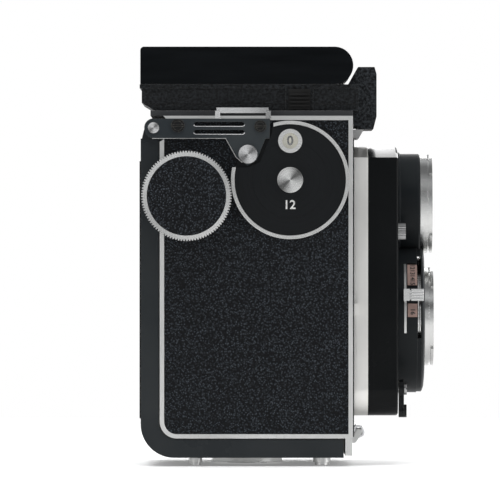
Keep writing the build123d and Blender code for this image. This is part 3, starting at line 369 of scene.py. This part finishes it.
def ground_glass():
    """The pale frosted face of the focusing screen."""
    s = Shader("ground_glass", (0.62, 0.66, 0.64), 0.55)
    grain = s.noise(5200.0, 2.0)
    s.bumps((grain, 0.03, 0.6))
    s.colour(s.ramp(grain, (0.3, (0.50, 0.54, 0.52)), (0.7, (0.68, 0.71, 0.69))))
    return s.material


def silvered():
    """The viewing mirror's bright, slightly dusty face."""
    s = Shader("mirror", (0.86, 0.88, 0.88), 0.03, 1.0)
    s.colour(s.ramp(s.noise(40.0, 5.0), (0.25, (0.80, 0.82, 0.82)), (0.7, (0.88, 0.90, 0.90))))
    return s.material


def coated_glass():
    """Lens glass: clear, with a coloured bloom that grows to the edge."""
    tint, tint_edge, rough = (0.42, 0.46, 0.60), (0.22, 0.16, 0.38), 0.02
    s = Shader("coated_glass", tint, rough, Transmission_Weight=0.96, IOR=1.5, Coat_Weight=0.6, Coat_Roughness=0.02)
    facing = s.new("LayerWeight")
    facing.inputs["Blend"].default_value = 0.45
    s.colour(s.ramp(facing.outputs["Facing"], (0.0, tint), (0.8, tint_edge)))
    s.roughness(s.ramp(s.noise(900.0, 5.0), (0.55, rough), (0.85, rough + 0.06)))
    return s.material


def window_glass():
    """A thin clear window: nearly invisible but for its faint shine."""
    s = Shader("window_glass", (0.9, 0.92, 0.92), 0.04, Alpha=0.1)
    s.roughness(s.ramp(s.noise(1200.0, 4.0), (0.5, 0.03), (0.85, 0.12)))
    s.material.surface_render_method = "BLENDED"
    return s.material


def ink(name, shade):
    """Paint for numbers."""
    s = Shader(name, shade, 0.5)
    low = tuple(0.75 * c for c in shade)
    s.colour(s.ramp(s.noise(1200.0, 3.0), (0.35, low), (0.65, shade)))
    return s.material


def centre_of(node):
    """The middle of a node's box at rest."""
    low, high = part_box(node)
    return (low + high) / 2


def make_materials():
    """Every finish, by material slot, by its own name, or by the node that it is made for."""
    made = {
        "leatherette": leatherette(),
        "black_enamel": enamel("black_enamel"),
        "shutter_black": enamel("shutter_black", 0.010, 0.46, 0.25, (0.08, 0.08, 0.08), 0.1),
        "lever_steel": brushed("lever_steel", (0.85, 0.85, 0.84), 0.22, 0, 0.8),
        "fittings": brushed("fittings_steel", (0.42, 0.42, 0.42), 0.3, 0),
        "deep_enamel": enamel("deep_enamel", 0.003, 0.2, 0.35, specular=0.08),
        "door_enamel": enamel("door_enamel", 0.016, 0.3, 0.4),
        "plate_enamel": enamel("plate_enamel", 0.028, 0.26, 0.6),
        "screw_black": enamel("screw_black", 0.001, 0.12, 0.2, specular=0.3),
        "gloss_enamel": enamel("gloss_enamel", 0.005, 0.14, 0.5),
        "crinkle_black": crinkle(),
        "crinkle_grey": crinkle("crinkle_grey", 0.021),
        "cast_black": matte_black(),
        "satin_black": satin_black(),
        "chrome": chrome(),
        "trim": brushed("satin_trim", (0.66, 0.66, 0.65), 0.34, 2),
        "skirt": brushed("satin_skirt", (0.84, 0.83, 0.80), 0.36, 2, 0.5),
        "grey_paint": grey_paint(),
        "brass": brass(),
        # The dial's emission is painted light that lifts it out of the shade under its window.
        "cream_dial": cream("cream_dial", (0.86, 0.83, 0.70), (0.76, 0.72, 0.58), 0.3),
        "scale": cream("scale_enamel", (0.30, 0.20, 0.17), (0.22, 0.15, 0.13)),
        "ground_glass": ground_glass(),
        "mirror": silvered(),
        "glass": window_glass(),
        "lens_glass": coated_glass(),
        "satin_steel": brushed("satin_steel", (0.50, 0.50, 0.50), 0.3, 2),
        "satin_aluminium": brushed("satin_aluminium", (0.64, 0.64, 0.63), 0.33, 1),
        "white_ink": ink("white_ink", (0.82, 0.82, 0.80)),
        "dark_ink": ink("dark_ink", (0.015, 0.015, 0.015)),
    }
    # fan sets how deep the painted highlight's dark gaps between its bright rays are.
    for node, fan in (("format_knob", 0.8), ("wind_knob", 0.3), ("focus_knob", 0.4), ("spool_knob_upper", 0.4),
                      ("spool_knob_lower", 0.4)):
        made[node] = turned("turned_" + node, (0.80, 0.80, 0.79), 0.26, centre_of(node), 1, fan=fan)
    joints = frame["record"]["behaviour"]["joints"]
    hinge = next(joint["pos_m"] for joint in joints if joint["name"] == "door_open")
    disc_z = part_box("strap_fittings")[0].z + SCREW_DISC_RADIUS * MM
    made["strap_fittings"] = turned("turned_fittings", (0.80, 0.80, 0.80), 0.22, hinge, 1, fan=0.7,
                                    second=(SCREW_DISC_X * MM, 0.0, disc_z))
    made["filter_bayonets"] = turned("turned_bayonets", (0.62, 0.62, 0.61), 0.18, centre_of("taking_lenses"), 0)
    rims, socket = centre_of("counter_rims"), centre_of("tripod_socket")
    made["counter_cover"] = turned("turned_cover", (0.006, 0.007, 0.008), 0.34, rims, 1, metal=0.0, pitch=0.5,
                                   specular=0.16, drawn=0.5)
    made["counter_rims"] = turned("turned_rim", (0.68, 0.68, 0.67), 0.28, rims, 1)
    made["door_lock_ring"] = turned("turned_lock_ring", (0.60, 0.60, 0.59), 0.3, socket, 2)
    made["tripod_socket"] = turned("turned_socket", (0.52, 0.52, 0.52), 0.28, socket, 2)
    return made


# Nodes that look different from their material slot
FINISH = {
    "chrome_trim": "trim",
    "lens_board_skirt": "skirt",
    "exposure_scale": "scale",
    "viewing_barrel": "shutter_black",
    "shutter_cover": "shutter_black",
    "shutter_housing": "shutter_black",
    "lens_board_fittings": "fittings",
    "hood_release_slider": "cast_black",
    "feet": "satin_aluminium",
    "aperture_lever": "lever_steel",
    "speed_lever": "lever_steel",
    "back_door": "door_enamel",
    "front_block": "crinkle_grey",
    "lens_board_housing": "deep_enamel",
    "shutter_blades": "gloss_enamel",
    "strap_plates": "plate_enamel",
    "plate_screws": "screw_black",
}


def dress(materials):
    """Gives every CAD node its finish."""
    slots = {entry["node"]: entry["material_slot"] for entry in frame["record"]["subparts"]}
    for name, node in NODES.items():
        key = name if name in materials else FINISH.get(name, slots[name])
        node.data.materials.clear()
        node.data.materials.append(materials[key])


# ---------------------------------------------------------------- added pieces

def add_piece(name, mesh_or_bm, material, body):
    """Adds a mesh as a piece that rides on a body."""
    if isinstance(mesh_or_bm, bmesh.types.BMesh):
        mesh = bpy.data.meshes.new(name)
        bmesh.ops.recalc_face_normals(mesh_or_bm, faces=mesh_or_bm.faces)
        mesh_or_bm.to_mesh(mesh)
        mesh_or_bm.free()
    else:
        mesh = mesh_or_bm
    piece = bpy.data.objects.new(name, mesh)
    bpy.context.scene.collection.objects.link(piece)
    piece.data.materials.clear()
    piece.data.materials.append(material)
    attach(piece, body)


def mesh_of(name, curve):
    """The plain mesh of a curve or text."""
    holder = bpy.data.objects.new(name, curve)
    bpy.context.scene.collection.objects.link(holder)
    bpy.context.view_layer.update()
    mesh = bpy.data.meshes.new_from_object(holder.evaluated_get(bpy.context.evaluated_depsgraph_get()))
    bpy.data.objects.remove(holder)
    return mesh


def lettering(name, text, height, matrix, material, body, depth=0.06, bold=0.0):
    """Numbers as thin raised solids, placed by a matrix whose X runs along the text and Z comes out."""
    curve = bpy.data.curves.new(name, "FONT")
    curve.body = text
    curve.size = height * MM
    curve.extrude = depth * MM / 2
    curve.offset = bold * MM
    curve.align_x = "CENTER"
    curve.align_y = "CENTER"
    curve.resolution_u = 6
    mesh = mesh_of(name + "_text", curve)
    mesh.transform(matrix)
    add_piece(name, mesh, material, body)


def wire(name, points, thick, material, body):
    """A fine rounded line through points in millimetres, as a mesh."""
    curve = bpy.data.curves.new(name, "CURVE")
    curve.dimensions = "3D"
    curve.bevel_depth = thick * MM / 2
    curve.bevel_resolution = 2
    line = curve.splines.new("POLY")
    line.points.add(len(points) - 1)
    for spot, point in zip(line.points, points):
        spot.co = (*(Vector(point) * MM), 1.0)
    mesh = mesh_of(name + "_curve", curve)
    for face in mesh.polygons:
        face.use_smooth = True
    add_piece(name, mesh, material, body)


def lower_slot_edge(x0, x1, z, half, y, steps=6):
    """Points along the lower edge of a slot with round ends."""
    points = []
    for x, start in ((x0 + half, 200), (x1 - half, 270)):
        for n in range(steps + 1):
            angle = math.radians(start + 70 * n / steps)
            points.append((x + half * math.cos(angle), y, z + half * math.sin(angle)))
    return points


def strap_plate_edges(materials):
    """Painted highlights: bright lines along the lower edges of the strap plates' slots and along the plates' lower
    edge, where light would catch their bevels.
    """
    low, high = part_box("strap_plates")
    low, high = low / MM, high / MM
    for side, y in (("right", low.y), ("left", high.y)):
        # Painted highlights as thin bright wires, only on the lower edges that face the light.
        for n, z in enumerate((high.z - 1.8, high.z - 4.5)):
            wire(f"slot_edge_{side}_{n}", lower_slot_edge(-18.2, -0.8, z, 0.82, y), 0.4, materials["chrome"],
                 "body")
        base = high.z - 6.75
        edge = [(low.x + 2.6, y, base), (-7.3, y, base), (-3.8, y, 105.3), (-1.6, y, 103.4)]
        wire(f"plate_edge_{side}", edge, 0.3, materials["trim"], "body")


def facing(x, y, z, right, up):
    """A placement at a point in millimetres with the text's right and up directions."""
    right, up = Vector(right).normalized(), Vector(up).normalized()
    out = right.cross(up)
    turn = Matrix((right, up, out)).transposed().to_4x4()
    return Matrix.Translation(Vector((x, y, z)) * MM) @ turn


def counter_numbers(materials):
    """Frame numbers round the dial, seen one at a time through the window, and the film length mark."""
    middle = centre_of("counter_dial") / MM
    reach = centre_of("counter_glass").z / MM - middle.z
    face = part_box("counter_dial")[0].y / MM - 0.6 * DIAL_NUMBER_DEPTH
    for n in range(DIAL_NUMBERS):
        angle = 2 * math.pi * n / DIAL_NUMBERS
        out, across = Vector((math.sin(angle), 0, math.cos(angle))), (math.cos(angle), 0, -math.sin(angle))
        place = facing(middle.x + reach * out.x, face, middle.z + reach * out.z, across, out)
        lettering(f"dial_number_{n}", str(n), 4.4, place, materials["dark_ink"], "counter",
                  depth=DIAL_NUMBER_DEPTH, bold=0.1)
    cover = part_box("counter_cover")[0].y / MM
    place = facing(middle.x - 0.2, cover - 0.03, middle.z - 8.6, (1, 0, 0), (0, 0, 1))
    lettering("film_length_12", "12", 4.2, place, materials["white_ink"], "body", bold=0.07)


def arc_strip(name, radius, z0, z1, x0, x1, thick, material, body, steps=24):
    """A thin strip that follows the shutter's rim between two heights, on the right side."""
    centre = centre_of("taking_lenses") / MM
    bm = bmesh.new()
    rows = []
    for n in range(steps + 1):
        z = z0 + (z1 - z0) * n / steps
        angle = math.asin(max(-1.0, min(1.0, (z - centre.z) / radius)))
        row = []
        for r in (radius, radius + thick):
            for x in (x0, x1):
                spot = Vector((x, -r * math.cos(angle), centre.z + r * math.sin(angle)))
                row.append(bm.verts.new(spot * MM))
        rows.append(row)
    for a, b in zip(rows, rows[1:]):
        for i, j in ((0, 1), (1, 3), (3, 2), (2, 0)):
            bm.faces.new((a[i], a[j], b[j], b[i]))
    for end in (rows[0], rows[-1]):
        bm.faces.new((end[0], end[1], end[3], end[2]))
    add_piece(name, bm, material, body)


def outer_radius(node):
    """The outer radius of a round node whose axis runs along X, in millimetres."""
    low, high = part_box(node)
    return (high.y - low.y) / 2 / MM


def exposure_numbers(materials):
    """Stops along the scale on the shutter's rim, and the bright line beside it."""
    centre = centre_of("taking_lenses") / MM
    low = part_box("exposure_scale")[0] / MM
    radius = -low.y + 0.02
    heights = [2.2] + [12.2 + 1.75 * n for n in range(4)]
    for n, (text, height) in enumerate(zip(("16", "15", "14", "13", "12"), heights)):
        angle = math.asin(height / radius)
        out = Vector((0, -math.cos(angle), math.sin(angle)))
        right = Vector((0, -math.sin(angle), -math.cos(angle)))
        place = facing(low.x + 1.7, radius * out.y, centre.z + height, right, out.cross(right))
        lettering(f"stop_{n}", text, 2.2, place, materials["dark_ink"], "lens_board", bold=0.05)
    rim = outer_radius("shutter_housing")
    arc_strip("scale_line", rim - 0.03, centre.z - 5.2, centre.z + 18.4, low.x - 1.2, low.x - 0.4, 0.07,
              materials["trim"], "lens_board")


def focus_numbers(materials):
    """Distances round the focusing knob."""
    low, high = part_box("focus_knob")
    centre = (low + high) / 2 / MM
    face = high.y / MM - 0.3
    for n, text in enumerate(("1", "1.2", "1.5", "2", "3", "4", "5", "8", "15")):
        angle = math.radians(200.0 - 26.0 * n)
        x, z = centre.x - 9.4 * math.sin(angle), centre.z + 9.4 * math.cos(angle)
        up = (-math.sin(angle), 0, math.cos(angle))
        right = (-math.cos(angle), 0, -math.sin(angle))
        lettering(f"distance_{n}", text, 2.4, facing(x, face, z, right, up), materials["dark_ink"], "focuser")


def screen_grid(materials):
    """The fine composing lines on the ground glass, stopping a millimetre short of its edges."""
    low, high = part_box("focusing_screen")
    bm = bmesh.new()
    width, thick, cells = 0.1 * MM, 0.06 * MM, 5
    long_x, long_y = high.x - low.x - 2 * MM, high.y - low.y - 2 * MM
    middle = (low + high) / 2
    for n in range(1, cells):
        spot = low + (high - low) * n / cells
        for x, y, size_x, size_y in ((spot.x, 0.0, width, long_y), (middle.x, spot.y, long_x, width)):
            place = Matrix.Translation((x, y, high.z + 0.02 * MM))
            place = place @ Matrix.Diagonal((size_x, size_y, thick, 1.0))
            bmesh.ops.create_cube(bm, size=1.0, matrix=place)
    add_piece("screen_grid", bm, materials["dark_ink"], "body")


# ---------------------------------------------------------------- studio

def make_world():
    """White to the camera, dim for plain light, and banded for reflections."""
    world = bpy.data.worlds.new("studio")
    bpy.context.scene.world = world
    world.use_nodes = True
    tree = world.node_tree
    seen = tree.nodes["Background"]
    dim = tree.nodes.new("ShaderNodeBackground")
    shine = tree.nodes.new("ShaderNodeBackground")
    for node, colour, strength in ((seen, WHITE, 1.0), (dim, (0.92, 0.95, 1.0, 1.0), 0.12), (shine, WHITE, 1.0)):
        node.inputs["Color"].default_value = colour
        node.inputs["Strength"].default_value = strength
    way = tree.nodes.new("ShaderNodeTexCoord")
    split = tree.nodes.new("ShaderNodeSeparateXYZ")
    tree.links.new(way.outputs["Generated"], split.inputs[0])
    bands = tree.nodes.new("ShaderNodeValToRGB")
    levels = ((0.0, 0.60), (0.15, 0.66), (0.28, 0.60), (0.38, 0.10), (0.60, 0.14), (0.70, 0.72), (0.84, 0.66),
              (0.95, 0.22))
    fill_ramp(bands.color_ramp, [(place, (0.97 * level, 0.985 * level, level)) for place, level in levels])
    tree.links.new(split.outputs["Z"], bands.inputs["Fac"])
    tree.links.new(bands.outputs["Color"], shine.inputs["Color"])
    path = tree.nodes.new("ShaderNodeLightPath")
    below = dim.outputs[0]
    for ray, light in (("Is Glossy Ray", shine), ("Is Camera Ray", seen)):
        mix = tree.nodes.new("ShaderNodeMixShader")
        tree.links.new(path.outputs[ray], mix.inputs[0])
        tree.links.new(below, mix.inputs[1])
        tree.links.new(light.outputs[0], mix.inputs[2])
        below = mix.outputs[0]
    tree.links.new(below, tree.nodes["World Output"].inputs["Surface"])


def make_floor():
    """A pale square that fades out to the white world round it."""
    bm = bmesh.new()
    bmesh.ops.create_grid(bm, x_segments=1, y_segments=1, size=FLOOR_REACH)
    mesh = bpy.data.meshes.new("floor")
    bm.to_mesh(mesh)
    bm.free()
    floor = bpy.data.objects.new("floor", mesh)
    bpy.context.scene.collection.objects.link(floor)
    floor.location = (0, 0, CAD_LOW.z - FLOOR_GAP)
    pale = Shader("pale_floor", (0.84, 0.84, 0.84), 0.55, Emission_Color=WHITE, Emission_Strength=0.22)
    pale.colour(pale.ramp(pale.noise(6.0), (0.3, 0.82), (0.7, 0.86)))
    away = pale.maths("DIVIDE", pale.vector("LENGTH", pale.where, output="Value"), FLOOR_REACH)
    pale.link(pale.ramp(away, (0.25, 1.0), (0.95, 0.0)), pale.bsdf, "Alpha")
    floor.data.materials.append(pale.material)


def soft_light(name, place, size, power):
    """A rectangular light aimed at the camera's middle."""
    lamp = bpy.data.lights.new(name, "AREA")
    lamp.shape = "RECTANGLE"
    lamp.size, lamp.size_y = size
    lamp.energy = power
    holder = bpy.data.objects.new(name, lamp)
    bpy.context.scene.collection.objects.link(holder)
    holder.location = place
    aim = (CAD_LOW + CAD_HIGH) / 2 - Vector(place)
    holder.rotation_euler = aim.to_track_quat("-Z", "Y").to_euler()
    return holder


def make_camera():
    """A long lens square to the right side."""
    camera = bpy.data.cameras.new("camera")
    camera.sensor_width = SENSOR_WIDTH
    camera.lens = SENSOR_WIDTH * CAMERA_DISTANCE / VIEW_WIDTH
    camera.clip_end = 50.0
    holder = bpy.data.objects.new("camera", camera)
    bpy.context.scene.collection.objects.link(holder)
    holder.location = (CAMERA_X, CAD_LOW.y - CAMERA_DISTANCE, CAMERA_Z)
    holder.rotation_euler = (math.radians(90), 0, 0)
    bpy.context.scene.camera = holder
    bpy.context.scene.view_settings.view_transform = "Standard"


def studio():
    """The world, floor, lights and camera."""
    make_world()
    make_floor()
    overhead = soft_light("overhead", (0.0, -0.15, 0.85), (0.9, 0.7), 9.0)
    overhead.visible_glossy = False
    soft_light("left_front", (-0.65, -0.75, 0.40), (0.5, 0.7), 2.2)
    soft_light("right_front", (0.85, -0.40, 0.25), (0.4, 0.7), 2.8)
    soft_light("back_fill", (0.0, 0.9, 0.35), (0.8, 0.6), 4.0)
    make_camera()


materials = make_materials()
dress(materials)
counter_numbers(materials)
exposure_numbers(materials)
focus_numbers(materials)
strap_plate_edges(materials)
screen_grid(materials)
studio()
